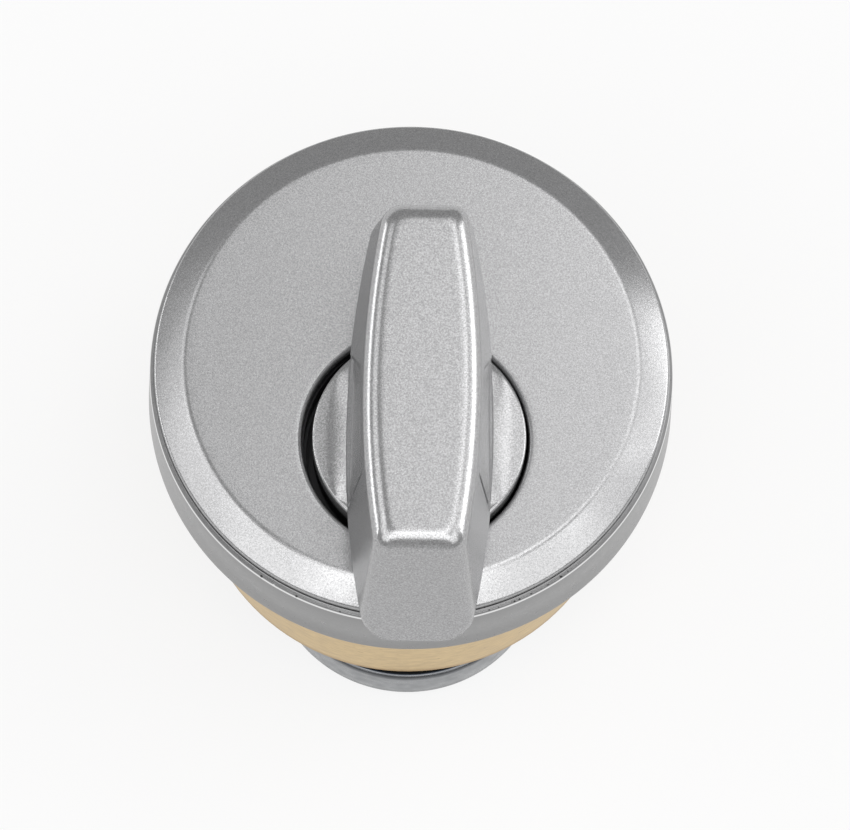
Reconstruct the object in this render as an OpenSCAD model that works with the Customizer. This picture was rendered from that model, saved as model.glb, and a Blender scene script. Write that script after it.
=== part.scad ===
// Thumb turn on a round lock barrel. The origin is on the barrel axis, in the
// plane of the head's back face. +Z points out of the face, and the lever lies
// along Y. The turn and its cam share an axis that is off the barrel's centre,
// and the lever is turned a few degrees from the line between the two axes.

/* [Barrel] */
// Diameter of the round barrel that goes into the lock
barrel_d = 29.4; // [28.8:0.1:29.8]
// Length of the barrel behind the head
barrel_len = 15.9; // [14:0.1:26]
// Distance from the barrel axis to the axis of the turn, along the lever
turn_y = 5.35; // [4.6:0.05:5.4]
// The same across the lever
turn_x = 0.55; // [-0.6:0.05:0.6]
// Step from the barrel up to the land inside the head ring
land_step = 0.2; // [0.1:0.05:0.4]
// Overhang of the front flange past the land
flange_over = 0.7; // [0.5:0.05:0.8]
// Thickness of the front flange
flange_t = 1.65; // [1.4:0.05:2.2]
// Width of the two side slots for the lock's set screws
slot_w = 3.2; // [2.4:0.1:4]
// Depth of those slots
slot_depth = 1.4; // [0.8:0.1:2]
// Length of barrel left whole between each slot and the head
slot_stop = 9; // [8.4:0.1:11]

/* [Head ring] */
// How far the sharp front edge reaches past the barrel, on the radius
ring_over = 2.5; // [2.2:0.05:3.5]
// How much the back edge is wider, on the radius
ring_flare = 0.24; // [0:0.02:0.6]
// Height from the back face to the sharp edge
ring_h = 5.7; // [4.6:0.1:8]
// Height of the turned slope above the sharp edge
slope_h = 0.4; // [0.3:0.05:0.8]
// Inward run of that slope
slope_in = 0.25; // [0.15:0.05:0.4]

/* [Face cap] */
// Thickness of the cap at its flat face
cap_t = 1.4; // [1.2:0.05:2]
// Width of the bevel round the flat face
cap_bevel_w = 1.98; // [1.4:0.02:2.6]
// Height of the upright edge, with its rounding
cap_edge_h = 0.42; // [0.35:0.01:0.6]
// Step in from the top of the ring's slope
cap_inset = 0.07; // [0.04:0.01:0.2]
// Dark joint left between the ring and the cap
cap_joint = 0.15; // [0.05:0.05:0.3]
// Rounding of the outer edge
cap_edge_r = 0.28; // [0.15:0.01:0.32]
// Blend between the flat face and the bevel
cap_blend_r = 2.4; // [1:0.1:4]
// Width of the groove between the hole and the disc
disc_groove = 0.45; // [0.35:0.05:0.6]
// Rounding of the edge of the hole
hole_edge_r = 0.3; // [0.15:0.05:0.5]
// Wall of the round rib that holds the cap in the flange
rib_t = 1; // [0.7:0.1:1.1]
// Height of that rib
rib_h = 1.5; // [1:0.1:2]
// Wall of the flange outside the rib
rib_margin = 1.1; // [0.9:0.1:1.2]

/* [Thumb turn] */
// Diameter of the disc under the lever
disc_d = 13.9; // [13.4:0.1:14]
// Height of the disc's rim above the face
disc_rise = 0.85; // [0.4:0.05:1.4]
// Rounding of the disc's rim
disc_edge_r = 0.25; // [0.1:0.05:0.4]
// Slope of the disc's top, up towards the middle
disc_slope = 2; // [1:0.5:4]
// Half of the width of the boss at the lever's underside
boss_half_w = 4.4; // [4.2:0.05:4.5]
// Lean of the boss's sides, inwards on the way up
boss_draft = 9; // [7:1:12]
// Radius of the hollow where the disc sweeps up into the boss
cove_r = 0.75; // [0.5:0.05:1.2]
// Angle at which that hollow meets the disc
cove_land = 12; // [8:1:20]
// Height from the face up to the underside of the lever
lever_gap = 2.3; // [1.8:0.1:4]
// Height of the lever above its underside
lever_h = 11.7; // [9:0.1:16]
// Half of the lever's length at the underside
base_half_len = 14.3; // [12:0.1:18]
// Half of its width there, at the middle
base_half_w = 5; // [4.8:0.05:5.4]
// Half of its length at the top
top_half_len = 11.2; // [9:0.1:11.8]
// Half of its width at the top, at the middle
top_half_w = 3.5; // [3:0.05:4]
// Radius of the bowed sides at the underside
base_bow_r = 60; // [54:1:120]
// Radius of the bowed sides at the top
top_bow_r = 57; // [52:1:120]
// Rounding of the edges round the top face
top_edge_r = 0.8; // [0.4:0.1:1.2]
// Rounding of the long edges underneath
base_edge_r = 1.9; // [0.8:0.1:2.2]
// Rounding of the short edges underneath
tip_edge_r = 0.35; // [0.2:0.05:0.8]
// Rounding of the four upright corners
corner_r = 1.4; // [0.8:0.1:1.8]
// Diameter of the shank that drives the plug
shank_d = 9; // [7:0.1:9.4]

/* [Plug] */
// Diameter of the plug that turns in the barrel
plug_d = 12.7; // [12.4:0.1:12.9]
// Running clearance round the plug, on the radius
run_clear = 0.05; // [0.02:0.01:0.1]
// Depth of the socket for the shank
socket_depth = 8.4; // [7:0.1:10]
// Clearance of pushed fits, on the radius
fit_clear = 0.02; // [0.01:0.01:0.04]
// Depth of the pocket for the disc in the front of the barrel
pocket_depth = 1.75; // [1.6:0.05:2.2]
// Depth of the pocket for the clip in the back of the barrel
back_pocket_depth = 2; // [1.8:0.1:3]
// Width of that pocket outside the plug
back_pocket_w = 1.85; // [1.75:0.05:2.1]
// Width of the tongue that drives the cam
tongue_w = 3.2; // [2.6:0.1:3.4]
// Height of the tongue
tongue_h = 1.6; // [1:0.1:2]

/* [Small parts] */
// Diameter of the slotted pin through the shank
pin_d = 2; // [1.6:0.1:2.4]
// Wall of that pin
pin_wall = 0.4; // [0.3:0.05:0.5]
// Height of the pin above the socket's floor
pin_up = 2.5; // [2:0.1:3.2]
// Thickness of the seal's section
seal_d = 1; // [0.8:0.05:1.2]
// Distance from the front of the plug to the middle of the seal
seal_down = 2; // [1.6:0.1:2.4]
// Sheet thickness of the bowed spring washer
spring_t = 0.3; // [0.2:0.05:0.4]
// Height of that washer, bow and sheet together
spring_h = 0.8; // [0.6:0.05:1]
// Thickness of the flat washer behind the barrel
washer_t = 0.5; // [0.4:0.05:0.7]
// Thickness of the spring clip on the plug
clip_t = 0.9; // [0.7:0.05:1]
// Depth of the groove that the clip sits in
clip_bite = 0.95; // [0.7:0.05:1.05]
// Width of the gap in the clip
clip_gap = 2.4; // [1.8:0.1:3]

/* [Cam] */
// Diameter of the cam's round hub
cam_d = 19.1; // [18:0.1:19.2]
// Thickness of the cam
cam_t = 3.4; // [3:0.1:4.5]
// Gap between the barrel and the cam
cam_gap = 0.6; // [0.4:0.05:1]
// Distance from the turn's axis to the end of the lobe
lobe_len = 19.5; // [16:0.1:21]
// Radius of the lobe's end
lobe_r = 3; // [2:0.1:4]
// Taper of the lobe's sides, in degrees
lobe_taper = 9; // [4:1:14]
// Chamfer round the hub's back edge
cam_chamfer = 0.4; // [0.2:0.05:0.6]
// Diameter of the two cam screws
screw_d = 2.5; // [2:0.1:2.6]
// Diameter of their countersunk heads
screw_head_d = 4.6; // [4:0.1:5]
// Length of the screws
screw_len = 7; // [6:0.5:8]
// Distance from the turn's axis to each screw
screw_reach = 3.6; // [3.4:0.1:3.9]

/* [Hidden] */
$fn = 120;
cut = 0.5;

// Small sizes that several pieces share
back_chamfer = 0.3;
groove_clear = 0.2;
pocket_step = 0.15;

// Heights, from the head's back face
slope_top = ring_h + slope_h;
flange_top = slope_top + cap_joint;
flange_bottom = flange_top - flange_t;
face_z = flange_top + cap_t;
pocket_floor = flange_top - pocket_depth;
disc_bottom = pocket_floor + spring_h + run_clear;
rim_z = face_z + disc_rise;
lever_bottom = face_z + lever_gap;
lever_top = lever_bottom + lever_h;
plug_front = pocket_floor - 2 * run_clear;
socket_floor = plug_front - socket_depth;
pin_z = socket_floor + pin_up;
seal_z = plug_front - seal_down;
back_pocket_floor = back_pocket_depth - barrel_len;
washer_back = back_pocket_floor - washer_t;
clip_front = washer_back - run_clear;
clip_back = clip_front - clip_t;
cam_front = -barrel_len - cam_gap;
cam_back = cam_front - cam_t;

// Radii
barrel_r = barrel_d / 2;
land_r = barrel_r + land_step;
flange_r = land_r + flange_over;
ring_r = barrel_r + ring_over;
slope_r = ring_r - slope_in;
cap_r = slope_r - cap_inset;
disc_r = disc_d / 2;
hole_r = disc_r + disc_groove;
pocket_r = hole_r + pocket_step;
rib_out_r = flange_r - rib_margin;
rib_in_r = rib_out_r - rib_t;
plug_r = plug_d / 2;
bore_r = plug_r + run_clear;
back_pocket_r = plug_r + back_pocket_w;
clip_in_r = plug_r - clip_bite + fit_clear;
screw_r = screw_d / 2;
head_r = screw_head_d / 2;

function unit(v) = v / norm(v);

// Points of the arc of radius r that rounds the corner b between a and c
function rounded(a, b, c, r, n = 5) =
    let (
        u = unit(a - b),
        v = unit(c - b),
        half = acos(u * v) / 2,
        m = b + unit(u + v) * r / sin(half),
        s = b + u * r / tan(half) - m,
        e = b + v * r / tan(half) - m,
        from = atan2(s.y, s.x),
        sweep = (atan2(e.y, e.x) - from + 540) % 360 - 180
    )
    [for (i = [0:n]) m + r * [cos(from + sweep * i / n), sin(from + sweep * i / n)]];

// How far an edge rounded to r steps in at the distance d from its face
function step_in(d, r) = d >= r ? 0 : r - sqrt(r * r - (r - d) * (r - d));

module at_turn_axis() {
    translate([turn_x, -turn_y, 0]) children();
}

module tube(outer, inner, h) {
    difference() {
        cylinder(r = outer, h = h);
        translate([0, 0, -cut]) cylinder(r = inner, h = h + 2 * cut);
    }
}

// The thumb turn is one casting: lever, boss, disc and shank

// Share of the way from the lever's top down to its underside
function drop(z) = (lever_top - z) / lever_h;
function side_w(z) = top_half_w + (base_half_w - top_half_w) * drop(z);

function lever_levels() = [
    for (a = [0:15:90]) lever_top - top_edge_r * (1 - sin(a)),
    for (a = [0:15:90]) lever_bottom + base_edge_r * (1 - cos(a)),
    lever_bottom + tip_edge_r
];

// Level outline of the lever: two bowed sides, two straight ends, round corners
module lever_outline(z) {
    top_step = step_in(lever_top - z, top_edge_r);
    side_step = top_step + step_in(z - lever_bottom, base_edge_r);
    end_step = top_step + step_in(z - lever_bottom, tip_edge_r);
    half_len = top_half_len + (base_half_len - top_half_len) * drop(z) - end_step;
    bow_r = top_bow_r + (base_bow_r - top_bow_r) * drop(z) - side_step;
    half_w = side_w(z) - side_step;
    corner = max(0.4, corner_r - 0.7 * side_step);
    offset(r = corner, $fn = 32)
        offset(delta = -corner)
            intersection() {
                square([4 * base_half_w, 2 * half_len], center = true);
                translate([bow_r - half_w, 0]) circle(r = bow_r, $fn = 160);
                translate([half_w - bow_r, 0]) circle(r = bow_r, $fn = 160);
            }
}

module lever() {
    skin = 0.01;
    hull()
        for (z = lever_levels())
            translate([0, 0, min(z, lever_top - skin)])
                linear_extrude(skin) lever_outline(z);
}

// Section of one side of the boss. Its drafted side dies into the lever. At its
// foot a hollow sweeps out to the disc, which it crosses a little short of tangent.
function boss_x(z) = boss_half_w - (z - lever_bottom) * tan(boss_draft);

module boss_section() {
    foot_z = disc_bottom + cut;
    top_z = lever_bottom + 0.5 * lever_h;
    out = [cos(boss_draft), sin(boss_draft)];
    centre_z = rim_z + cove_r * cos(cove_land);
    centre = [boss_x(centre_z) + cove_r / out.x, centre_z];
    foot = [boss_x(foot_z), foot_z];
    polygon([[0, foot_z], foot, [boss_x(top_z), top_z], [0, top_z]]);
    difference() {
        polygon([foot, [centre.x, foot_z], centre, centre - cove_r * out]);
        translate(centre) circle(r = cove_r);
    }
}

module boss() {
    boss_r = disc_r - disc_edge_r;
    intersection() {
        rotate([90, 0, 0])
            linear_extrude(2 * disc_d, center = true) {
                boss_section();
                mirror([1, 0]) boss_section();
            }
        translate([0, 0, disc_bottom]) cylinder(r = boss_r, h = lever_top - disc_bottom);
    }
}

// Round disc, a shallow cone on top, with a rounded rim
module disc() {
    rim = [disc_r, rim_z];
    peak = [0, rim_z + disc_r * tan(disc_slope)];
    rotate_extrude()
        polygon(concat(
            [[0, disc_bottom], [disc_r, disc_bottom]],
            rounded([disc_r, disc_bottom], rim, peak, disc_edge_r),
            [peak]
        ));
}

module thumb_turn() {
    color("silver")
        at_turn_axis()
            difference() {
                union() {
                    lever();
                    boss();
                    disc();
                    translate([0, 0, socket_floor])
                        cylinder(d = shank_d, h = rim_z - socket_floor);
                }
                translate([0, 0, pin_z])
                    rotate([0, 90, 0])
                        cylinder(r = pin_d / 2 + fit_clear, h = shank_d + 2 * cut, center = true);
            }
}

// The head: a cap in front and a ring that the flange traps

module face_cap() {
    edge_z = flange_top + cap_edge_h;
    flat = [cap_r - cap_bevel_w, face_z];
    shoulder = [cap_r, edge_z];
    profile = concat(
        [[0, flange_top], [cap_r, flange_top]],
        rounded([cap_r, flange_top], shoulder, flat, cap_edge_r),
        rounded(shoulder, flat, [0, face_z], cap_blend_r),
        [[0, face_z]]
    );
    color("lightgray")
        difference() {
            union() {
                rotate_extrude($fn = 180) polygon(profile);
                translate([0, 0, flange_top - rib_h])
                    tube(rib_out_r, rib_in_r, rib_h + cap_t / 2);
            }
            at_turn_axis() {
                translate([0, 0, flange_top - cut])
                    cylinder(r = hole_r, h = cap_t + 2 * cut);
                translate([0, 0, face_z - hole_edge_r])
                    rotate_extrude()
                        difference() {
                            square([hole_r + hole_edge_r, 2 * hole_edge_r]);
                            translate([hole_r + hole_edge_r, 0]) circle(r = hole_edge_r);
                        }
            }
        }
}

module head_ring() {
    bore = land_r + fit_clear;
    recess = flange_r + fit_clear;
    back_r = ring_r + ring_flare;
    color("darkgray")
        rotate_extrude($fn = 180)
            polygon([
                [bore, 0],
                [back_r - back_chamfer, 0],
                [back_r, back_chamfer],
                [ring_r, ring_h],
                [slope_r, slope_top],
                [recess, slope_top],
                [recess, flange_bottom],
                [bore, flange_bottom]
            ]);
}

// The barrel, and the plug that turns in it

module cylinder_body() {
    color("burlywood")
        difference() {
            union() {
                translate([0, 0, -barrel_len])
                    cylinder(r1 = barrel_r - back_chamfer, r2 = barrel_r, h = back_chamfer);
                translate([0, 0, back_chamfer - barrel_len])
                    cylinder(r = barrel_r, h = barrel_len - back_chamfer);
                cylinder(r = land_r, h = flange_top);
                translate([0, 0, flange_bottom]) cylinder(r = flange_r, h = flange_t);
            }
            at_turn_axis() {
                translate([0, 0, -barrel_len - cut])
                    cylinder(r = bore_r, h = barrel_len + flange_top + 2 * cut);
                translate([0, 0, pocket_floor])
                    cylinder(r = pocket_r, h = pocket_depth + cut);
                translate([0, 0, -barrel_len - cut])
                    cylinder(r = back_pocket_r, h = back_pocket_depth + cut);
            }
            translate([0, 0, flange_top - rib_h - groove_clear])
                tube(rib_out_r + fit_clear, rib_in_r - fit_clear, rib_h + groove_clear + cut);
            for (side = [-1, 1])
                translate([side * barrel_r, 0, -slot_stop - slot_w / 2])
                    set_screw_slot();
        }
}

// Round-ended slot that runs out through the back of the barrel
module set_screw_slot() {
    rotate([0, 90, 0]) cylinder(d = slot_w, h = 2 * slot_depth, center = true);
    translate([-slot_depth, -slot_w / 2, -barrel_len])
        cube([2 * slot_depth, slot_w, barrel_len]);
}

module plug() {
    groove_r = plug_r - seal_d;
    color("goldenrod")
        at_turn_axis()
            difference() {
                translate([0, 0, cam_front - tongue_h])
                    cylinder(r = plug_r, h = plug_front - cam_front + tongue_h);
                translate([0, 0, socket_floor])
                    cylinder(d = shank_d + 2 * fit_clear, h = socket_depth + cut);
                translate([0, 0, pin_z])
                    rotate([0, 90, 0])
                        cylinder(r = pin_d / 2 + fit_clear, h = plug_d + 2 * cut, center = true);
                translate([0, 0, seal_z - seal_d / 2 - groove_clear])
                    tube(plug_r + cut, groove_r, seal_d + 2 * groove_clear);
                translate([0, 0, clip_back - run_clear])
                    tube(plug_r + cut, plug_r - clip_bite, clip_t + 2 * run_clear);
                for (side = [-1, 1]) {
                    translate([side * (tongue_w / 2 + plug_r), 0, cam_front - tongue_h / 2 - cut])
                        cube([2 * plug_r, 2 * plug_d, tongue_h + 2 * cut], center = true);
                    translate([side * screw_reach, 0, cam_front - cut])
                        cylinder(r = screw_r + fit_clear, h = screw_len - cam_t + 2 * cut);
                }
            }
}

// The pin, the seal, the washers and the clip

// Rolled pin with a slit along its length
module turn_pin() {
    length = plug_d - 0.5;
    color("dimgray")
        at_turn_axis()
            translate([0, 0, pin_z])
                rotate([0, 90, 0])
                    difference() {
                        translate([0, 0, -length / 2])
                            tube(pin_d / 2, pin_d / 2 - pin_wall, length);
                        translate([0, -pin_d / 2, 0])
                            cube([pin_wall, pin_d, length + 2 * cut], center = true);
                    }
}

module seal_ring() {
    color("black")
        at_turn_axis()
            translate([0, 0, seal_z])
                rotate_extrude()
                    translate([plug_r + fit_clear - seal_d / 2, 0]) circle(d = seal_d, $fn = 32);
}

// Flat ring bent about the lever's line: its ends rest on the pocket's floor and
// its crown presses the disc outwards
module spring_washer() {
    outer = pocket_r - groove_clear;
    bow = spring_h - spring_t - fit_clear;
    bend_r = (outer * outer + bow * bow) / (2 * bow);
    color("slategray")
        at_turn_axis()
            intersection() {
                translate([0, 0, pocket_floor]) tube(outer, shank_d / 2 + groove_clear, spring_h);
                translate([0, 0, pocket_floor + spring_h - spring_t - bend_r])
                    rotate([90, 0, 0])
                        translate([0, 0, -plug_d])
                            tube(bend_r + spring_t, bend_r, 2 * plug_d);
            }
}

module thrust_washer() {
    color("lightsteelblue")
        at_turn_axis()
            translate([0, 0, washer_back])
                tube(back_pocket_r - groove_clear, plug_r + groove_clear, washer_t);
}

// Open spring clip, thickest opposite its gap, with an eye at each end
module retaining_clip() {
    band = 1.9;
    thin = 0.35;
    eye_r = 1.05;
    eye = [clip_gap / 2 + 0.85, -clip_in_r - 0.95];
    color("gray")
        at_turn_axis()
            translate([0, 0, clip_back])
                linear_extrude(clip_t)
                    difference() {
                        union() {
                            translate([0, thin]) circle(r = clip_in_r + band);
                            for (side = [-1, 1]) translate([side * eye.x, eye.y]) circle(r = eye_r);
                        }
                        circle(r = clip_in_r);
                        translate([-clip_gap / 2, -2 * plug_d]) square([clip_gap, 2 * plug_d]);
                        for (side = [-1, 1])
                            translate([side * eye.x, eye.y]) circle(r = 0.45, $fn = 32);
                    }
}

// The cam and its two screws

module lobe_outline() {
    reach = lobe_len - lobe_r;
    root = (lobe_r + reach * sin(lobe_taper)) / cos(lobe_taper);
    tangent = lobe_r * [cos(lobe_taper), sin(lobe_taper)] + [0, reach];
    polygon([[-root, 0], [root, 0], tangent, [-tangent.x, tangent.y]]);
    translate([0, reach]) circle(r = lobe_r);
}

module cam() {
    hub_r = cam_d / 2;
    color("slategray")
        at_turn_axis()
            translate([0, 0, cam_back])
                difference() {
                    union() {
                        cylinder(r1 = hub_r - cam_chamfer, r2 = hub_r, h = cam_chamfer);
                        translate([0, 0, cam_chamfer]) cylinder(r = hub_r, h = cam_t - cam_chamfer);
                        linear_extrude(cam_t) lobe_outline();
                    }
                    intersection() {
                        translate([0, 0, cam_t - tongue_h - run_clear])
                            cylinder(r = plug_r + run_clear, h = tongue_h + cut);
                        cube([tongue_w + 2 * run_clear, 2 * plug_d, 4 * cam_t], center = true);
                    }
                    for (side = [-1, 1])
                        translate([side * screw_reach, 0, 0]) {
                            translate([0, 0, -cut])
                                cylinder(r = screw_r + groove_clear, h = cam_t + 2 * cut);
                            screw_head(fit_clear);
                        }
                }
}

// Countersunk head, flush with the cam's back
module screw_head(clear) {
    rise = head_r - screw_r;
    cylinder(r1 = head_r + clear, r2 = screw_r + clear, h = rise);
    if (clear > 0) translate([0, 0, -cut]) cylinder(r = head_r + clear, h = cut);
}

module cam_screw(side) {
    cross = [2.6, 0.55, 0.9];
    color("silver")
        at_turn_axis()
            translate([side * screw_reach, 0, cam_back])
                difference() {
                    union() {
                        screw_head(0);
                        cylinder(r = screw_r, h = screw_len);
                    }
                    for (turn = [0, 90]) rotate(turn) cube([cross.x, cross.y, 2 * cross.z], center = true);
                }
}

module cam_screw_left() {
    cam_screw(-1);
}

module cam_screw_right() {
    cam_screw(1);
}

thumb_turn();
face_cap();
head_ring();
cylinder_body();
plug();
turn_pin();
seal_ring();
spring_washer();
thrust_washer();
retaining_clip();
cam();
cam_screw_left();
cam_screw_right();
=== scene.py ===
import math

import bmesh
import bpy
from mathutils import Matrix, Vector


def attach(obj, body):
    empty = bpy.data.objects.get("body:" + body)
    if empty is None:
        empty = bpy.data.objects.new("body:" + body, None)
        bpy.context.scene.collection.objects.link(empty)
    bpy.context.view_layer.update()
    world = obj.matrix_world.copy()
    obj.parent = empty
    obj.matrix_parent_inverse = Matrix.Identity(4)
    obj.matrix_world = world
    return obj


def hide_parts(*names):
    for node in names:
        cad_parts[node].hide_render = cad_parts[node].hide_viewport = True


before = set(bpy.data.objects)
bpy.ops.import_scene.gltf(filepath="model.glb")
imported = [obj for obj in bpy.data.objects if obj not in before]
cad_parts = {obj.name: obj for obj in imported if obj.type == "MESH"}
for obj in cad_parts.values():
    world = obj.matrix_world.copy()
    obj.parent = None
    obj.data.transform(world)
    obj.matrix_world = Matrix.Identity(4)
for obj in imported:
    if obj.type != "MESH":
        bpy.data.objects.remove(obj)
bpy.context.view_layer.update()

# The studio: a wide pale table under the turn, soft boxes round it and overhead,
# and the camera, which looks down on the face from the near end of the lever.

for obj in bpy.context.selected_objects:
    obj.select_set(False)

bpy.context.scene.view_settings.view_transform = "Standard"

# The table's top lies in the plane of the cam's back face
MM = 0.001
CAM_BOTTOM = -20.4
TABLE_LIFT, TABLE_GREY = 0.80, 0.14
bpy.ops.mesh.primitive_plane_add(size=12, location=(0, 0, CAM_BOTTOM * MM))
table = bpy.context.object
table.name = "table"
table_paint = bpy.data.materials.new("table_paint")
table_paint.use_nodes = True
nodes, links = table_paint.node_tree.nodes, table_paint.node_tree.links
nodes.clear()
out = nodes.new("ShaderNodeOutputMaterial")
both = nodes.new("ShaderNodeAddShader")
matt = nodes.new("ShaderNodeBsdfDiffuse")
matt.inputs["Color"].default_value = (TABLE_GREY, TABLE_GREY, TABLE_GREY, 1)
lift = nodes.new("ShaderNodeEmission")
lift.inputs["Color"].default_value = (TABLE_LIFT, TABLE_LIFT, TABLE_LIFT, 1)
# The lift shows to the camera, in reflections and through glass, and lights nothing
path = nodes.new("ShaderNodeLightPath")
first = nodes.new("ShaderNodeMath")
first.operation = "ADD"
seen = nodes.new("ShaderNodeMath")
seen.operation = "ADD"
seen.use_clamp = True
links.new(path.outputs["Is Camera Ray"], first.inputs[0])
links.new(path.outputs["Is Glossy Ray"], first.inputs[1])
links.new(first.outputs[0], seen.inputs[0])
links.new(path.outputs["Is Transmission Ray"], seen.inputs[1])
links.new(seen.outputs[0], lift.inputs["Strength"])
links.new(matt.outputs[0], both.inputs[0])
links.new(lift.outputs[0], both.inputs[1])
links.new(both.outputs[0], out.inputs["Surface"])
table.data.materials.append(table_paint)

ROOM = 0.34
world = bpy.data.worlds.new("studio_air")
bpy.context.scene.world = world
world.use_nodes = True
air = world.node_tree.nodes["Background"]
air.inputs["Color"].default_value = (ROOM, ROOM, ROOM, 1)
air.inputs["Strength"].default_value = 1.0


def soft_box(name, azimuth, elevation, distance, width, height, glow):
    """Rectangular lamp aimed at the turn, in degrees and metres; glow is its brightness."""
    a, e = math.radians(azimuth), math.radians(elevation)
    away = Vector((math.cos(a) * math.cos(e), math.sin(a) * math.cos(e), math.sin(e)))
    data = bpy.data.lights.new(name, "AREA")
    data.shape = "RECTANGLE"
    data.size, data.size_y = width, height
    data.energy = glow * math.pi * width * height
    lamp = bpy.data.objects.new(name, data)
    lamp.location = away * distance
    lamp.rotation_euler = away.to_track_quat("Z", "Y").to_euler()
    lamp.visible_camera = False
    bpy.context.collection.objects.link(lamp)


soft_box("box_right_low", 15, 14, 0.8, 0.50, 0.34, 3.6)
soft_box("box_right", 20, 33, 0.8, 0.50, 0.30, 1.1)
soft_box("box_right_high", 35, 57, 0.8, 0.40, 0.30, 1.1)
soft_box("box_side_right", -10, 46, 0.8, 0.36, 0.40, 1.2)
soft_box("box_front_low", -90, 10, 0.8, 0.70, 0.22, 0.3)
soft_box("box_front_high", -90, 62, 0.6, 0.40, 0.32, 2.2)
soft_box("box_over", -50, 81, 0.6, 0.34, 0.18, 1.8)
soft_box("box_front_left", -135, 42, 0.8, 0.45, 0.45, 1.8)
soft_box("box_front_right", -45, 42, 0.8, 0.45, 0.45, 1.6)
soft_box("box_side_left", -175, 46, 0.8, 0.36, 0.40, 1.5)
soft_box("box_left_low", 165, 4, 0.8, 0.60, 0.16, 4.2)
soft_box("box_left_high", 152, 43, 0.8, 0.40, 0.34, 1.15)
soft_box("box_back_high", 88, 64, 0.8, 0.40, 0.20, 0.7)
soft_box("box_over_right", 45, 72, 0.4, 0.20, 0.26, 1.0)

# The camera stands on the front side, tilted a little from straight at the rim. Its
# place, its turns and its lens are fitted to the edges in the photo.
RIM_Z = 0.0057
EYE_DISTANCE = 0.3287
EYE_ELEVATION, EYE_AROUND = math.radians(71.568), math.radians(-1.6)
EYE_ROLL, EYE_PAN, EYE_TILT = 0.0451676, -0.0027078, -0.0087513
EYE_LENS = 211.76
offset = Vector((0, -math.cos(EYE_ELEVATION), math.sin(EYE_ELEVATION)))
right = Vector((1, 0, 0))
aim = Matrix((right, offset.cross(right), offset)).transposed()
aim = aim @ Matrix.Rotation(EYE_ROLL, 3, "Z") @ Matrix.Rotation(EYE_PAN, 3, "Y")
aim = aim @ Matrix.Rotation(EYE_TILT, 3, "X")
camera = bpy.data.objects.new("camera", bpy.data.cameras.new("camera"))
camera.data.sensor_width = 36
camera.data.lens = EYE_LENS
camera.data.clip_start = 0.01
stand = Matrix.Translation(offset * EYE_DISTANCE + Vector((0, 0, RIM_Z)))
camera.matrix_world = Matrix.Rotation(EYE_AROUND, 4, "Z") @ stand @ aim.to_4x4()
bpy.context.collection.objects.link(camera)
bpy.context.scene.camera = camera

# Turn, the casting: a tall tapered lever with bowed sides, on a boss that sweeps
# down into a round disc, with the shank below. Cast in zinc, blasted and plated to
# a satin silver. Each loop is extruded from the one below it.

TURN = Vector((0.55, -5.35))
LEVER_LOW, LEVER_TOP = 9.95, 21.65
LEVER_H = LEVER_TOP - LEVER_LOW
# Half width, half length and radius of the bowed sides at the lever's top, each with
# what it gains on the way down to the underside
TOP_W, GAIN_W = 3.60, 1.40
TOP_LEN, GAIN_LEN = 11.2, 3.1
TOP_BOW, GAIN_BOW = 62, 3
# Radii of the edges round the top, along the sides underneath and at the ends there
TOP_EDGE, SIDE_EDGE, END_EDGE = 1.1, 1.9, 0.35
NEAR_CORNER, FAR_LEFT_CORNER, FAR_RIGHT_CORNER = 1.1, 1.60, 0.90
# Share of its width that the lever gains for each millimetre towards its near end
TAPER = 0.003
SHANK_R, SHANK_LOW = 4.5, -4.0
DISC_R, DISC_LOW, RIM_TOP, RIM_EDGE = 6.95, 5.35, 8.5, 0.2
BOSS_R = 6.75


def step_in(depth, radius):
    """How far an edge rounded to the radius steps in, at a depth from its face."""
    if depth >= radius:
        return 0.0
    return radius - math.sqrt(max(0.0, radius * radius - (radius - depth) ** 2))


def ease(low, high, value):
    """0 below low, 1 above high, and a soft change between."""
    t = min(1.0, max(0.0, (value - low) / (high - low)))
    return t * t * (3 - 2 * t)


def side_w(z):
    """Half width of the lever at a height, before its edges are rounded."""
    return TOP_W + GAIN_W * (LEVER_TOP - z) / LEVER_H


def lever_reach(z, dx, dy):
    """Distance from the axis to the lever's outline at height z, in a direction."""
    drop = (LEVER_TOP - z) / LEVER_H
    top_step = step_in(LEVER_TOP - z, TOP_EDGE)
    side_step = top_step + step_in(z - LEVER_LOW, SIDE_EDGE)
    end_step = top_step + step_in(z - LEVER_LOW, END_EDGE)
    half_len = TOP_LEN + GAIN_LEN * drop - end_step
    bow = TOP_BOW + GAIN_BOW * drop - side_step
    half_w = side_w(z) - side_step
    corner = NEAR_CORNER
    if dy >= 0:
        corner = FAR_RIGHT_CORNER if dx > 0 else FAR_LEFT_CORNER
    corner = max(0.4, corner - 0.6 * side_step)
    dx, dy = abs(dx), abs(dy)
    # Middle of the corner's arc, and the point where that arc meets the bowed side
    mid_y = half_len - corner
    mid_x = half_w - bow + math.sqrt((bow - corner) ** 2 - mid_y ** 2)
    out = Vector((mid_x - (half_w - bow), mid_y)).normalized()
    side_end = Vector((mid_x, mid_y)) + out * corner
    if dx * side_end.y - dy * side_end.x >= 0:
        b = -(half_w - bow) * dx
        return -b + math.sqrt(b * b - (half_w - bow) ** 2 + bow * bow)
    if dx * half_len - dy * mid_x <= 0:
        return half_len / dy
    b = mid_x * dx + mid_y * dy
    return b + math.sqrt(b * b - mid_x ** 2 - mid_y ** 2 + corner ** 2)


def soft_less(a, b, blend):
    """The smaller of two, with the change from one to the other rounded off."""
    h = max(blend - abs(a - b), 0) / blend
    return min(a, b) - h * h * blend / 4


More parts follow.
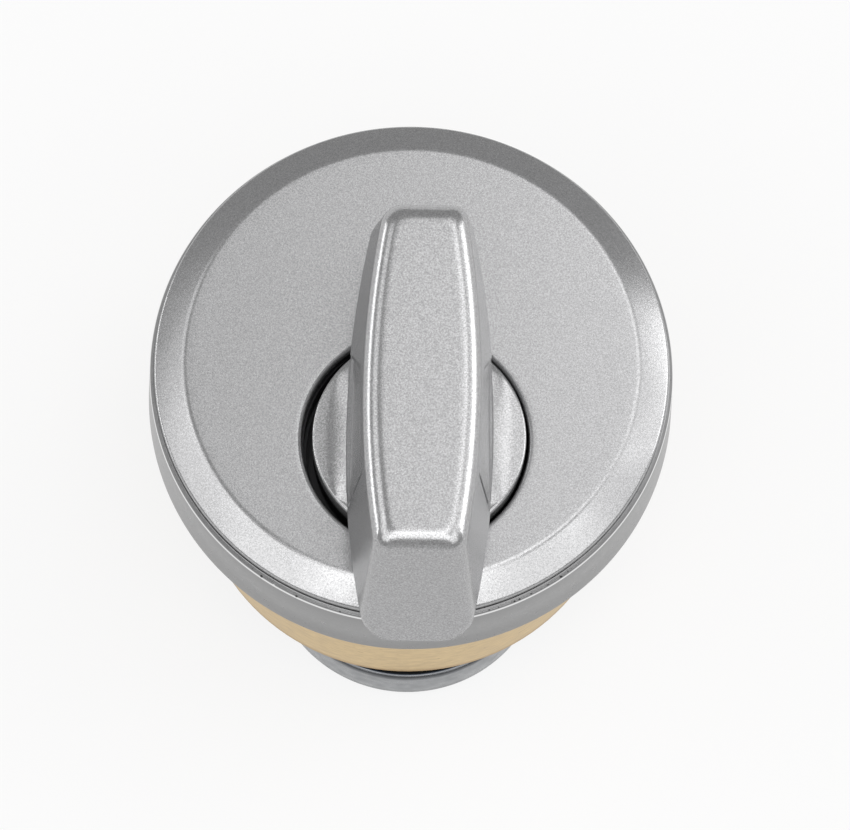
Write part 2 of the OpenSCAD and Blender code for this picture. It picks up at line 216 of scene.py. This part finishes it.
# Directions of the loop's points, aimed at spots round a quarter of the lever: along
# its side, close together where the flats end, then round the corner and its end
mid_w = side_w(13)
quarter = []
for low, high, count in ((0.0, 1.6, 8), (1.6, 5.9, 46), (5.9, 7.6, 26), (7.6, 11.9, 14)):
    quarter += [(mid_w, low + (high - low) * i / count) for i in range(count)]
for i in range(15):
    a = math.radians(90 * i / 14)
    quarter.append((mid_w - 1.5 + 1.4 * math.cos(a), 11.9 + 1.4 * math.sin(a)))
quarter += [(mid_w - 1.5 - i * 0.48, 13.3) for i in range(1, 7)]
quarter = [Vector(p).normalized() for p in quarter]
flip = [Vector((-p.x, p.y)) for p in reversed(quarter)]
top_half = quarter + [Vector((0, 1))] + flip
directions = [p.copy() for p in top_half] + [-p for p in top_half[1:-1]]


def lay_loop(obj, points):
    """Lays the selected loop on the points, one to a station."""
    work = bmesh.from_edit_mesh(obj.data)
    station = work.verts.layers.int["station"]
    for vert in work.verts:
        if vert.select:
            vert.co = [c * MM for c in points[vert[station]]]
    bmesh.update_edit_mesh(obj.data)


def extrude_loop(obj, points):
    bpy.ops.mesh.extrude_edges_move()
    lay_loop(obj, points)


def start_loop(name, count):
    """A flat circle in edit mode, selected, whose points know their stations."""
    bpy.ops.mesh.primitive_circle_add(vertices=count, radius=0.01)
    obj = bpy.context.object
    obj.name = name
    obj.data.name = name
    bpy.ops.object.mode_set(mode="EDIT")
    bpy.ops.mesh.select_all(action="SELECT")
    work = bmesh.from_edit_mesh(obj.data)
    station = work.verts.layers.int.new("station")
    for vert in work.verts:
        turn = math.atan2(vert.co.y, vert.co.x) / math.tau
        vert[station] = round(turn * count) % count
    bmesh.update_edit_mesh(obj.data)
    return obj


def face_outward():
    """Turns every face of the piece outward and leaves edit mode."""
    bpy.ops.mesh.select_all(action="SELECT")
    bpy.ops.mesh.normals_make_consistent(inside=False)
    bpy.ops.object.mode_set(mode="OBJECT")


def reach_loop(z, reach):
    """Points at each direction's reach; the lever is a little wider at its near end."""
    taper = TAPER * ease(LEVER_LOW, 11.5, z)
    laid = [(d, reach(d)) for d in directions]
    return [(d.x * r * (1 - taper * d.y * r) + TURN.x, d.y * r + TURN.y, z) for d, r in laid]


def round_loop(radius, z):
    return reach_loop(z, lambda d: radius)


casting = start_loop("turn_casting", len(directions))
lay_loop(casting, round_loop(SHANK_R, SHANK_LOW))
bpy.ops.mesh.edge_face_add()
for z in (-3.0, 1.0, 4.5, 5.3, DISC_LOW):
    extrude_loop(casting, round_loop(SHANK_R, z))
for r in (5.5, DISC_R - 0.05):
    extrude_loop(casting, round_loop(r, DISC_LOW))
for z in (DISC_LOW + 0.05, 6.0, 7.2, 8.0):
    extrude_loop(casting, round_loop(DISC_R, z))
for i in range(7):
    a = math.radians(88 * i / 6)
    r = DISC_R - RIM_EDGE + RIM_EDGE * math.cos(a)
    extrude_loop(casting, round_loop(r, RIM_TOP - RIM_EDGE + RIM_EDGE * math.sin(a)))

# The disc's top, then the dished sweep that rises to the sides of the boss
FOOT_X, DISH_X, DISH_R = 4.24, 6.4, 5.6
DISH_LOW, DISH_HIGH = math.radians(2), math.radians(25)
DISH_Z = RIM_TOP + 0.02
FOOT_Z = DISH_Z + DISH_R * (math.cos(DISH_LOW) - math.cos(DISH_HIGH))
BLEND = 0.12


def boss_reach(half_w, dx, blend=BLEND):
    """Distance to the outline of a round boss with two flat sides."""
    return soft_less(half_w / max(abs(dx), 1e-6), BOSS_R, blend)


extrude_loop(casting, round_loop(BOSS_R + 0.04, RIM_TOP + 0.002))
for i in range(13):
    a = DISH_LOW + (DISH_HIGH - DISH_LOW) * i / 12
    x = DISH_X - DISH_R * (math.sin(a) - math.sin(DISH_LOW))
    z = DISH_Z + DISH_R * (math.cos(DISH_LOW) - math.cos(a))
    wide = BLEND + 1.6 * ease(0, 0.6, x - FOOT_X)
    extrude_loop(casting, reach_loop(z, lambda d: boss_reach(x, d.x, wide)))


def flat_w(z):
    """Half width over the two flats: upright at the boss, then along the lever."""
    return soft_less(FOOT_X + 0.02 + 0.035 * (z - FOOT_Z), side_w(z) - 0.16, 0.2)


for z in (FOOT_Z + 0.04, FOOT_Z + 0.12, 9.3, 9.55, 9.75, 9.9):
    extrude_loop(casting, reach_loop(z, lambda d: boss_reach(flat_w(z), d.x)))

# Ends of the flats along the lever and their upper edge, the last two aslant, and the
# crease that runs round the flats
FLAT_NEAR, FLAT_FAR, FLAT_TOP = -6.32, 5.2, 18.9
FAR_SLANT, TOP_SLANT = 0.46, 0.12
CREASE_DEPTH, CREASE_W = 0.12, 0.11


def body_reach(z, d):
    """The lever and its boss together: flats on the sides, and a soft crease round."""
    lever = lever_reach(z, d.x, d.y)
    boss = boss_reach(flat_w(z), d.x) - 2 * ease(12, 14, z)
    whole = -soft_less(-lever, -boss, 0.10)
    if abs(d.x) < 0.3:
        return whole
    # How far inside the flat's outline this point is: near, far and upper edges
    y = side_w(z) * d.y / abs(d.x)
    from_far = FLAT_FAR - FAR_SLANT * (z - 10) - y
    from_top = FLAT_TOP + TOP_SLANT * max(-y, -2) - z
    inside = min(y - FLAT_NEAR, from_far, from_top * 2)
    on_flat = ease(-0.04, 0.04, inside) * (1 - ease(18, 20, z) * 0.8)
    crease = CREASE_DEPTH * math.exp(-(inside / CREASE_W) ** 2)
    crease *= ease(11.2, 12, z) * (1 - ease(18.3, 19.6, z))
    sunk = min(lever, flat_w(z) / abs(d.x))
    return whole + (sunk - whole) * on_flat * ease(11.2, 12, z) - crease / abs(d.x)


def round_off(radius, angles):
    """Depths from a face within its rounded edge, at angles in degrees."""
    return [radius * (1 - math.cos(math.radians(a))) for a in angles]


levels = [LEVER_LOW + depth for depth in round_off(END_EDGE, (0, 25, 45, 65, 90))]
levels += [LEVER_LOW + depth for depth in round_off(SIDE_EDGE, range(42, 91, 8))]
levels += [12.1 + 0.27 * i for i in range(31)]
levels += [LEVER_TOP - depth for depth in round_off(TOP_EDGE, (*range(90, 9, -8), 0))]
for z in levels:
    extrude_loop(casting, reach_loop(z, lambda d: body_reach(z, d)))


def top_reach(d, inset):
    """Distance to the outline of the top face, moved in by the inset."""
    return body_reach(LEVER_TOP, d) - inset * (1 + abs(d.y))


for inset in (0.15, 0.6):
    extrude_loop(casting, reach_loop(LEVER_TOP, lambda d: top_reach(d, inset)))
bpy.ops.mesh.edge_face_add()
face_outward()
bpy.ops.object.shade_smooth_by_angle(angle=math.radians(40))


def noise_of(tree, vector, detail=2.0, scale=1.0):
    """Noise on any coordinates."""
    noise = tree.nodes.new("ShaderNodeTexNoise")
    noise.inputs["Scale"].default_value = scale
    noise.inputs["Detail"].default_value = detail
    tree.links.new(vector, noise.inputs["Vector"])
    return noise.outputs["Fac"]


def noise_at(tree, place, scale, detail=2.0):
    """Noise on Object coordinates; scale is in features to the metre."""
    return noise_of(tree, place.outputs["Object"], detail, scale)


def parts_of(tree, place):
    """Object coordinates as three sockets: X, Y and Z."""
    apart = tree.nodes.new("ShaderNodeSeparateXYZ")
    tree.links.new(place.outputs["Object"], apart.inputs[0])
    return apart.outputs


def maths(tree, operation, one, other):
    """Sum or product of two, where each is a socket or a number."""
    step = tree.nodes.new("ShaderNodeMath")
    step.operation = operation
    for socket, value in zip(step.inputs, (one, other)):
        if isinstance(value, (int, float)):
            socket.default_value = value
        else:
            tree.links.new(value, socket)
    return step.outputs[0]


def spread(tree, value, low, high, to_low, to_high):
    """Maps low..high to to_low..to_high, and holds it there outside."""
    step = tree.nodes.new("ShaderNodeMapRange")
    step.inputs["From Min"].default_value = low
    step.inputs["From Max"].default_value = high
    step.inputs["To Min"].default_value = to_low
    step.inputs["To Max"].default_value = to_high
    tree.links.new(value, step.inputs["Value"])
    return step.outputs[0]


def mixed(tree, share, one, other):
    """Colour from one to the other, by share; each is a colour or a socket."""
    mix = tree.nodes.new("ShaderNodeMix")
    mix.data_type = "RGBA"
    tree.links.new(share, mix.inputs["Factor"])
    for socket, colour in ((mix.inputs["A"], one), (mix.inputs["B"], other)):
        if isinstance(colour, tuple):
            socket.default_value = (*colour, 1)
        else:
            tree.links.new(colour, socket)
    return mix.outputs["Result"]


def bumped(tree, height, depth, below=None):
    """Relief of a depth in metres, laid over the relief below it."""
    bump = tree.nodes.new("ShaderNodeBump")
    bump.inputs["Distance"].default_value = depth
    bump.inputs["Strength"].default_value = 1.0
    tree.links.new(height, bump.inputs["Height"])
    if below:
        tree.links.new(below, bump.inputs["Normal"])
    return bump.outputs[0]


def metal(name):
    """A new metal material, its node tree, its shader and its Object coordinates."""
    paint = bpy.data.materials.new(name)
    paint.use_nodes = True
    tree = paint.node_tree
    skin = tree.nodes["Principled BSDF"]
    skin.inputs["Metallic"].default_value = 1.0
    return paint, tree, skin, tree.nodes.new("ShaderNodeTexCoord")


def satin(name, colour, rough, grain_size, depth, mottle, groove_shade_top=0, reach=7.45):
    """Blasted and plated metal: mottled colour, cloudy roughness, random grain."""
    paint, tree, skin, place = metal(name)
    skin.inputs["Metallic"].default_value = 0.8
    skin.inputs["Specular Tint"].default_value = (0.88, 0.88, 0.88, 1)
    grain = noise_at(tree, place, grain_size)
    dark = tuple(c * (1 - mottle) for c in colour)
    light = tuple(min(1.0, c * (1 + mottle)) for c in colour)
    share = spread(tree, noise_at(tree, place, grain_size * 0.9, 1.0), 0.25, 0.75, 0, 1)
    base = mixed(tree, share, dark, light)
    # Painted shade down in the groove round the disc
    if groove_shade_top:
        base = painted_groove_shade(tree, place, base, groove_shade_top, reach)
    tree.links.new(base, skin.inputs["Base Color"])
    cloud = spread(tree, noise_at(tree, place, 900), 0.3, 0.7, rough - 0.02, rough + 0.02)
    tree.links.new(cloud, skin.inputs["Roughness"])
    tree.links.new(bumped(tree, grain, depth), skin.inputs["Normal"])
    return paint


# Colour of the painted shade in the deep groove round the disc, and the height where it starts
GROOVE_SHADE, GROOVE_SHADE_LOW = (0.026, 0.026, 0.027), 4.2


def painted_groove_shade(tree, place, base, top, reach):
    """Paints near-black shade below a height, within a reach of the turn's axis: the shade down in
    the groove round the disc.
    """
    x, y, height = parts_of(tree, place)
    flat = tree.nodes.new("ShaderNodeCombineXYZ")
    tree.links.new(x, flat.inputs["X"])
    tree.links.new(y, flat.inputs["Y"])
    off = tree.nodes.new("ShaderNodeVectorMath")
    off.operation = "DISTANCE"
    off.inputs[1].default_value = (TURN.x * MM, TURN.y * MM, 0)
    tree.links.new(flat.outputs[0], off.inputs[0])
    near = spread(tree, off.outputs["Value"], reach * MM, (reach + 0.2) * MM, 1, 0)
    under = spread(tree, height, (top - 0.2) * MM, top * MM, 1, 0)
    over = spread(tree, height, GROOVE_SHADE_LOW * MM, (GROOVE_SHADE_LOW + 0.2) * MM, 0, 1)
    share = maths(tree, "MULTIPLY", maths(tree, "MULTIPLY", near, under), over)
    return mixed(tree, share, base, GROOVE_SHADE)


CAST_SILVER, CAST_ROUGH = (0.40, 0.40, 0.404), 0.24
GRAIN, GRAIN_DEPTH = 11000, 0.0000035
# Top of the painted shade in the groove round the disc
GROOVE_SHADE_TOP = 7.1
turn_paint = satin("turn_satin", CAST_SILVER, CAST_ROUGH, GRAIN, GRAIN_DEPTH, 0.26, GROOVE_SHADE_TOP)
casting.data.materials.append(turn_paint)
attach(casting, "turn")
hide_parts("thumb_turn")

# Cylinder, the cap: turned, with a bevelled front and an off-centre hole for the
# disc, blasted to the same satin silver, held in the barrel by a rib behind it.

CENTRE = Vector((0, 0))
CAP_R, CAP_FLAT, CAP_LOW, FACE_Z = 16.88, 14.9, 6.25, 7.65
CAP_EDGE_H = 0.42
HOLE_R, HOLE = 7.40, Vector((0.31, -5.28))
RIB_OUT, RIB_IN, RIB_LOW = 14.5, 13.5, 4.75
# Radii of the edges between face and bevel, round the outside, and round the hole
FACE_EDGE, CAP_EDGE, HOLE_EDGE = 1.0, 0.26, 0.30


def turned(name, section, centre, steps=256):
    """Spins a section of (radius, height) points about an upright axis."""
    bpy.ops.mesh.primitive_circle_add(vertices=3, radius=0.01)
    obj = bpy.context.object
    obj.name = name
    obj.data.name = name
    bpy.ops.object.mode_set(mode="EDIT")
    work = bmesh.from_edit_mesh(obj.data)
    bmesh.ops.delete(work, geom=work.verts[:], context="VERTS")
    x, y = centre.x * MM, centre.y * MM
    chain = [work.verts.new((x + r * MM, y, z * MM)) for r, z in section]
    for a, b in zip(chain, chain[1:]):
        work.edges.new((a, b))
    for vert in work.verts:
        vert.select = True
    work.select_flush(True)
    bmesh.update_edit_mesh(obj.data)
    bpy.ops.mesh.select_all(action="SELECT")
    bpy.ops.mesh.spin(steps=steps, angle=math.tau, center=(x, y, 0), axis=(0, 0, 1))
    bpy.ops.mesh.select_all(action="SELECT")
    bpy.ops.mesh.remove_doubles(threshold=1e-6)
    face_outward()
    return obj


def arc(a, b, c, radius, count=6):
    """Points that round the corner b between a and c."""
    a, b, c = Vector(a), Vector(b), Vector(c)
    u, v = (a - b).normalized(), (c - b).normalized()
    half = u.angle(v) / 2
    mid = b + (u + v).normalized() * radius / math.sin(half)
    start, end = b + u * radius / math.tan(half) - mid, b + v * radius / math.tan(half) - mid
    first_turn = math.atan2(start.y, start.x)
    sweep = (math.atan2(end.y, end.x) - first_turn + 3 * math.pi) % math.tau - math.pi
    return [(mid.x + radius * math.cos(first_turn + sweep * i / count),
             mid.y + radius * math.sin(first_turn + sweep * i / count)) for i in range(count + 1)]


edge_top = (CAP_R, CAP_LOW + CAP_EDGE_H)
bevel_top = (CAP_FLAT, FACE_Z)
outside = [(13.8, FACE_Z), (14.1, FACE_Z)]
outside += arc((0, FACE_Z), bevel_top, edge_top, FACE_EDGE, 8)
outside += arc(bevel_top, edge_top, (CAP_R, CAP_LOW), CAP_EDGE, 7)
outside += [(CAP_R, CAP_LOW), (RIB_OUT, CAP_LOW), (RIB_OUT, RIB_LOW)]
outside += [(RIB_IN, RIB_LOW), (RIB_IN, CAP_LOW)]
cap = turned("face_cap_satin", outside, CENTRE)
hole = [(8.15, FACE_Z), (7.95, FACE_Z)]
hole += arc((9, FACE_Z), (HOLE_R, FACE_Z), (HOLE_R, CAP_LOW), HOLE_EDGE, 7)
hole.append((HOLE_R, CAP_LOW))
hole_wall = turned("hole_wall", hole, HOLE)
bpy.ops.object.select_all(action="DESELECT")
hole_wall.select_set(True)
cap.select_set(True)
bpy.context.view_layer.objects.active = cap
bpy.ops.object.join()


def bridge_at(obj, z):
    """Bridges the two open loops of a piece that lie at one height."""
    bpy.ops.object.mode_set(mode="EDIT")
    bpy.ops.mesh.select_all(action="DESELECT")
    bpy.ops.mesh.select_mode(type="EDGE")
    work = bmesh.from_edit_mesh(obj.data)
    for edge in work.edges:
        apart = max(abs(v.co.z - z * MM) for v in edge.verts)
        edge.select_set(edge.is_boundary and apart < 1e-6)
    bmesh.update_edit_mesh(obj.data)
    bpy.ops.mesh.bridge_edge_loops()
    bpy.ops.object.mode_set(mode="OBJECT")


bridge_at(cap, FACE_Z)
bridge_at(cap, CAP_LOW)
bpy.ops.object.mode_set(mode="EDIT")
face_outward()
bpy.ops.object.shade_smooth_by_angle(angle=math.radians(30))
# The hole's wall gets the same painted shade, down in the groove
cap_paint = satin("cap_satin", CAST_SILVER, CAST_ROUGH, GRAIN, GRAIN_DEPTH, 0.20, GROOVE_SHADE_TOP, 7.75)
cap.data.materials.append(cap_paint)
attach(cap, "cylinder")
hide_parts("face_cap")

# Cylinder, the ring round the head: turned and a little darker. Its front edge is
# slightly rounded, with a painted highlight along it and a nick painted bright, and with
# turned lines and dark pits on the slope above it. It sits round the barrel's head, under the cap.

RING_IN, SEAT_R, SEAT_Z, RING_TOP = 14.92, 15.62, 4.6, 6.1
back_edge = (17.44, 0.28)
ring_section = [(RING_IN, 0), (17.16, 0), (17.3, 0.05), (17.39, 0.14), back_edge]
ring_section += arc(back_edge, (17.2, 5.70), (16.94, 6.12), 0.24, 6)
# Three fine turned lines
for r, z in ((17.075, 5.90), (17.02, 5.99), (16.975, 6.06)):
    ring_section += [(r + 0.012, z - 0.02), (r - 0.02, z - 0.012), (r - 0.012, z + 0.015)]
ring_section += [(16.92, RING_TOP), (SEAT_R, RING_TOP), (SEAT_R, SEAT_Z)]
ring_section += [(RING_IN, SEAT_Z), (RING_IN, 0)]
ring = turned("head_ring_satin", ring_section, CENTRE, 512)
bpy.ops.object.shade_smooth_by_angle(angle=math.radians(30))


def round_about(tree, place, along, across):
    """Coordinates that change slowly round the barrel's axis and fast across it."""
    x, y, height = parts_of(tree, place)
    flat = tree.nodes.new("ShaderNodeVectorMath")
    flat.operation = "MULTIPLY"
    flat.inputs[1].default_value = (1, 1, 0)
    tree.links.new(place.outputs["Object"], flat.inputs[0])
    radius = tree.nodes.new("ShaderNodeVectorMath")
    radius.operation = "LENGTH"
    tree.links.new(flat.outputs[0], radius.inputs[0])
    total = maths(tree, "ADD", radius.outputs["Value"], height)
    joined = tree.nodes.new("ShaderNodeCombineXYZ")
    for socket, value, stretch in (("X", x, along), ("Y", y, along), ("Z", total, across)):
        tree.links.new(maths(tree, "MULTIPLY", value, stretch), joined.inputs[socket])
    return joined.outputs[0]


def marked(tree, place, base, marks, colour):
    """Small spots of a colour; each mark is (x, y, z, radius) in millimetres."""
    for x, y, z, size in marks:
        off = tree.nodes.new("ShaderNodeVectorMath")
        off.operation = "DISTANCE"
        off.inputs[1].default_value = (x * MM, y * MM, z * MM)
        tree.links.new(place.outputs["Object"], off.inputs[0])
        share = spread(tree, off.outputs["Value"], 0.6 * size * MM, size * MM, 1, 0)
        base = mixed(tree, share, base, colour)
    return base


RING_SILVER, PAINTED_HIGHLIGHT, PIT_DARK = (0.22, 0.22, 0.222), (0.8, 0.8, 0.8), (0.04, 0.04, 0.04)
NICK = (-8.70, -14.78, 5.72, 0.12)
PITS = [(-10.09, -13.70, 5.85, 0.10), (-9.50, -14.21, 5.80, 0.13), (-8.41, -14.72, 5.90, 0.10),
        (-7.25, -15.28, 5.90, 0.09), (-7.21, -15.52, 5.80, 0.11), (-4.38, -16.55, 5.85, 0.08)]
for i in range(16):
    a = math.radians(-72 + 1.5 * i + 0.9 * math.sin(i * 2.4))
    r, z = 17.07 + 0.03 * math.sin(i * 1.7), 5.88 + 0.06 * math.sin(i * 3.1)
    PITS.append((r * math.cos(a), r * math.sin(a), z, 0.07 + 0.03 * math.sin(i * 5.3)))
ring_paint, tree, skin, place = metal("ring_satin")
turning = noise_of(tree, round_about(tree, place, 300, 11000))
cloud = noise_at(tree, place, 2400, 3.0)
dark = tuple(c * 0.95 for c in RING_SILVER)
light = tuple(c * 1.05 for c in RING_SILVER)
base = mixed(tree, spread(tree, cloud, 0.3, 0.7, 0, 1), dark, light)
# Painted highlight: the turned edge is painted bright in a narrow band of heights
height = parts_of(tree, place)["Z"]
over = spread(tree, height, 5.54 * MM, 5.60 * MM, 0, 1)
under = spread(tree, height, 5.74 * MM, 5.80 * MM, 1, 0)
base = mixed(tree, maths(tree, "MULTIPLY", over, under), base, PAINTED_HIGHLIGHT)
base = marked(tree, place, base, PITS, PIT_DARK)
# A nick on the edge, painted bright as a highlight
base = marked(tree, place, base, [NICK], PAINTED_HIGHLIGHT)
tree.links.new(base, skin.inputs["Base Color"])
tree.links.new(spread(tree, cloud, 0.3, 0.7, 0.27, 0.33), skin.inputs["Roughness"])
tree.links.new(bumped(tree, turning, 0.000004, bumped(tree, cloud, 0.000003)), skin.inputs["Normal"])
ring.data.materials.append(ring_paint)
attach(ring, "cylinder")
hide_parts("head_ring")

# Cylinder, the barrel, and turn, the plug that runs in its bore: turned brass, in the
# CAD's own shapes, with faint lines round it, a few brown specks, a browner band
# at the back edge, and painted shade in the pocket round the disc.

BRASS, BRASS_SPECK, BRASS_BROWN = (0.60, 0.452, 0.236), (0.30, 0.19, 0.07), (0.36, 0.22, 0.08)


def dress(node, paint):
    """Gives one of the CAD's own pieces a material."""
    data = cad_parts[node].data
    data.materials.clear()
    data.materials.append(paint)


def turned_brass(name, colour, back_edge_z):
    """Brass with lines round the barrel's axis, browner next to its back edge, with painted shade in
    the pocket round the disc.
    """
    paint, tree, skin, place = metal(name)
    streaks = noise_of(tree, round_about(tree, place, 1200, 8000), 3.0)
    lines = noise_of(tree, round_about(tree, place, 200, 12000))
    pale = tuple(c * 1.12 for c in colour)
    deep = (colour[0] * 0.84, colour[1] * 0.79, colour[2] * 0.68)
    base = mixed(tree, spread(tree, streaks, 0.35, 0.65, 0, 1), deep, pale)
    fleck = noise_of(tree, round_about(tree, place, 1500, 5000), 1.0)
    base = mixed(tree, spread(tree, fleck, 0.71, 0.77, 0, 0.6), base, BRASS_SPECK)
    height = parts_of(tree, place)["Z"]
    edge = spread(tree, height, back_edge_z * MM, (back_edge_z + 0.5) * MM, 0.7, 0.0)
    base = mixed(tree, edge, base, BRASS_BROWN)
    # Painted shade in the pocket round the disc
    base = painted_groove_shade(tree, place, base, 6.9, 8.5)
    tree.links.new(base, skin.inputs["Base Color"])
    tree.links.new(spread(tree, streaks, 0.3, 0.7, 0.30, 0.42), skin.inputs["Roughness"])
    tree.links.new(bumped(tree, lines, 0.000004), skin.inputs["Normal"])
    return paint


dress("cylinder_body", turned_brass("barrel_brass", BRASS, -15.5))
dress("plug", turned_brass("plug_brass", BRASS, -15.0))

# Turn, the cam: a stamped plate, plated bluish grey, with a round hub and a lobe that
# tapers to a round end. The plug's tongue sits in its slot, and two countersunk
# screws hold it. The hub's outline is a little off the axis, as in the photo.

HUB_R, HUB_OFF = 9.6, Vector((-0.43, -0.06))
CAM_TOP, CAM_EDGE = -16.5, 0.4
LOBE_REACH, LOBE_R, LOBE_TAPER = 16.5, 3.0, math.radians(9)


def cam_reach(d, inset):
    """Distance from the axis to the cam's outline, moved in by the inset."""
    b = d.dot(HUB_OFF)
    hub = b + math.sqrt(b * b - HUB_OFF.length_squared + (HUB_R - inset) ** 2)
    if d.y <= 0:
        return hub
    side = Vector((math.cos(LOBE_TAPER), math.sin(LOBE_TAPER)))
    radius = LOBE_R - inset
    end = Vector((0, LOBE_REACH)) + side * radius
    if abs(d.x) * end.y - d.y * end.x < 0:
        b = d.y * LOBE_REACH
        return b + math.sqrt(b * b - LOBE_REACH ** 2 + radius ** 2)
    return max(hub, (side.y * LOBE_REACH + radius) / (side.x * abs(d.x) + side.y * d.y))


def cam_loop(z, inset):
    return reach_loop(z, lambda d: cam_reach(d, inset))


cam = start_loop("cam_steel", len(directions))
lay_loop(cam, cam_loop(CAM_BOTTOM, CAM_EDGE))
bpy.ops.mesh.edge_face_add()
for up, inset in ((0.08, 0.2), (0.2, 0.08), (0.4, 0), (1.4, 0)):
    extrude_loop(cam, cam_loop(CAM_BOTTOM + up, inset))
for i in range(7):
    a = math.radians(15 * i)
    z = CAM_TOP - CAM_EDGE + CAM_EDGE * math.sin(a)
    extrude_loop(cam, cam_loop(z, CAM_EDGE - CAM_EDGE * math.cos(a)))
bpy.ops.mesh.edge_face_add()
face_outward()


def cut_from(piece, cutter):
    """Cuts one piece's shape out of another and takes the cutter away."""
    bpy.ops.object.select_all(action="DESELECT")
    bpy.context.view_layer.objects.active = piece
    cutting = piece.modifiers.new("cut", "BOOLEAN")
    cutting.operation = "DIFFERENCE"
    cutting.solver = "EXACT"
    cutting.object = cutter
    bpy.ops.object.modifier_apply(modifier=cutting.name)
    bpy.data.objects.remove(cutter)


# The countersunk holes: this plate is 0.5 mm thicker than the CAD's, so the screws'
# heads, flush at HEAD_Z there, lie in straight bores below its back face
SCREW_OUT, HEAD_R, SCREW_R, HEAD_Z = 3.6, 2.34, 1.3, -19.9
CUT_LOW, CUT_HIGH = CAM_BOTTOM - 1.1, CAM_TOP + 1.0
bore = [(0, CUT_LOW), (HEAD_R, CUT_LOW), (HEAD_R, HEAD_Z)]
bore += [(SCREW_R, HEAD_Z + HEAD_R - SCREW_R), (SCREW_R, CUT_HIGH), (0, CUT_HIGH)]
for side in (-1, 1):
    cut_from(cam, turned("screw_bore", bore, TURN + Vector((side * SCREW_OUT, 0)), 32))

# The slot for the tongue, across the front face
SLOT_W, SLOT_LEN, SLOT_FLOOR = 1.65, 6.2, -18.15
slot_corners = [(SLOT_W, SLOT_LEN), (-SLOT_W, SLOT_LEN), (-SLOT_W, -SLOT_LEN), (SLOT_W, -SLOT_LEN)]
slot = start_loop("tongue_slot", len(slot_corners))
lay_loop(slot, [(x + TURN.x, y + TURN.y, SLOT_FLOOR) for x, y in slot_corners])
bpy.ops.mesh.edge_face_add()
extrude_loop(slot, [(x + TURN.x, y + TURN.y, CUT_HIGH) for x, y in slot_corners])
bpy.ops.mesh.edge_face_add()
face_outward()
cut_from(cam, slot)
bpy.ops.object.select_all(action="DESELECT")
cam.select_set(True)
bpy.ops.object.shade_smooth_by_angle(angle=math.radians(30))

CAM_DEEP, CAM_PALE = (0.22, 0.227, 0.237), (0.27, 0.277, 0.287)
CAM_EDGE_SHADE, CAM_UNDER_SHADE = (0.07, 0.072, 0.078), (0.02, 0.025, 0.035)
cam_paint, tree, skin, place = metal("cam_steel")
cloud = noise_at(tree, place, 1100, 3.0)
colour = mixed(tree, spread(tree, cloud, 0.35, 0.65, 0, 1), CAM_DEEP, CAM_PALE)
# Painted shade: the rounded front edge is painted dull, and the front face, under the barrel, is
# painted dark as the barrel's shadow
height = parts_of(tree, place)["Z"]
edge_shade = spread(tree, height, (CAM_TOP - CAM_EDGE) * MM, (CAM_TOP - 0.15) * MM, 0, 0.55)
colour = mixed(tree, edge_shade, colour, CAM_EDGE_SHADE)
under_shade = spread(tree, height, (CAM_TOP - 0.03) * MM, (CAM_TOP - 0.01) * MM, 0, 1)
colour = mixed(tree, under_shade, colour, CAM_UNDER_SHADE)
tree.links.new(colour, skin.inputs["Base Color"])
tree.links.new(spread(tree, cloud, 0.3, 0.7, 0.34, 0.26), skin.inputs["Roughness"])
tree.links.new(bumped(tree, noise_at(tree, place, 4200), 0.000003), skin.inputs["Normal"])
cam.data.materials.append(cam_paint)
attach(cam, "turn")
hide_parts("cam")

# Turn, the two cam screws: countersunk, of bright plated steel, in the CAD's own
# shapes. They pass through the cam and hold it on the plug.

screw_paint = satin("screw_steel", (0.50, 0.50, 0.51), 0.25, 3000, 0.000002, 0.04)
for node in ("cam_screw_left", "cam_screw_right"):
    dress(node, screw_paint)

# Hidden inside, in the CAD's own shapes: the pin through shank and plug, the bowed
# and the flat washer and the clip, all of spring steel with painted shade where they
# lie in the groove, and the black rubber seal that sits round the plug.

# Painted shade where these parts lie in the groove
spring_paint = satin("spring_steel", (0.36, 0.36, 0.37), 0.24, 2600, 0.000002, 0.05, 6.4)
for node in ("turn_pin", "spring_washer", "thrust_washer", "retaining_clip"):
    dress(node, spring_paint)
rubber, tree, skin, place = metal("seal_rubber")
skin.inputs["Metallic"].default_value = 0.0
speckle = noise_at(tree, place, 2500, 3.0)
shade = mixed(tree, spread(tree, speckle, 0.3, 0.7, 0, 1), (0.012, 0.012, 0.012), (0.03, 0.03, 0.03))
tree.links.new(shade, skin.inputs["Base Color"])
tree.links.new(spread(tree, speckle, 0.3, 0.7, 0.5, 0.7), skin.inputs["Roughness"])
tree.links.new(bumped(tree, speckle, 0.00001), skin.inputs["Normal"])
dress("seal_ring", rubber)
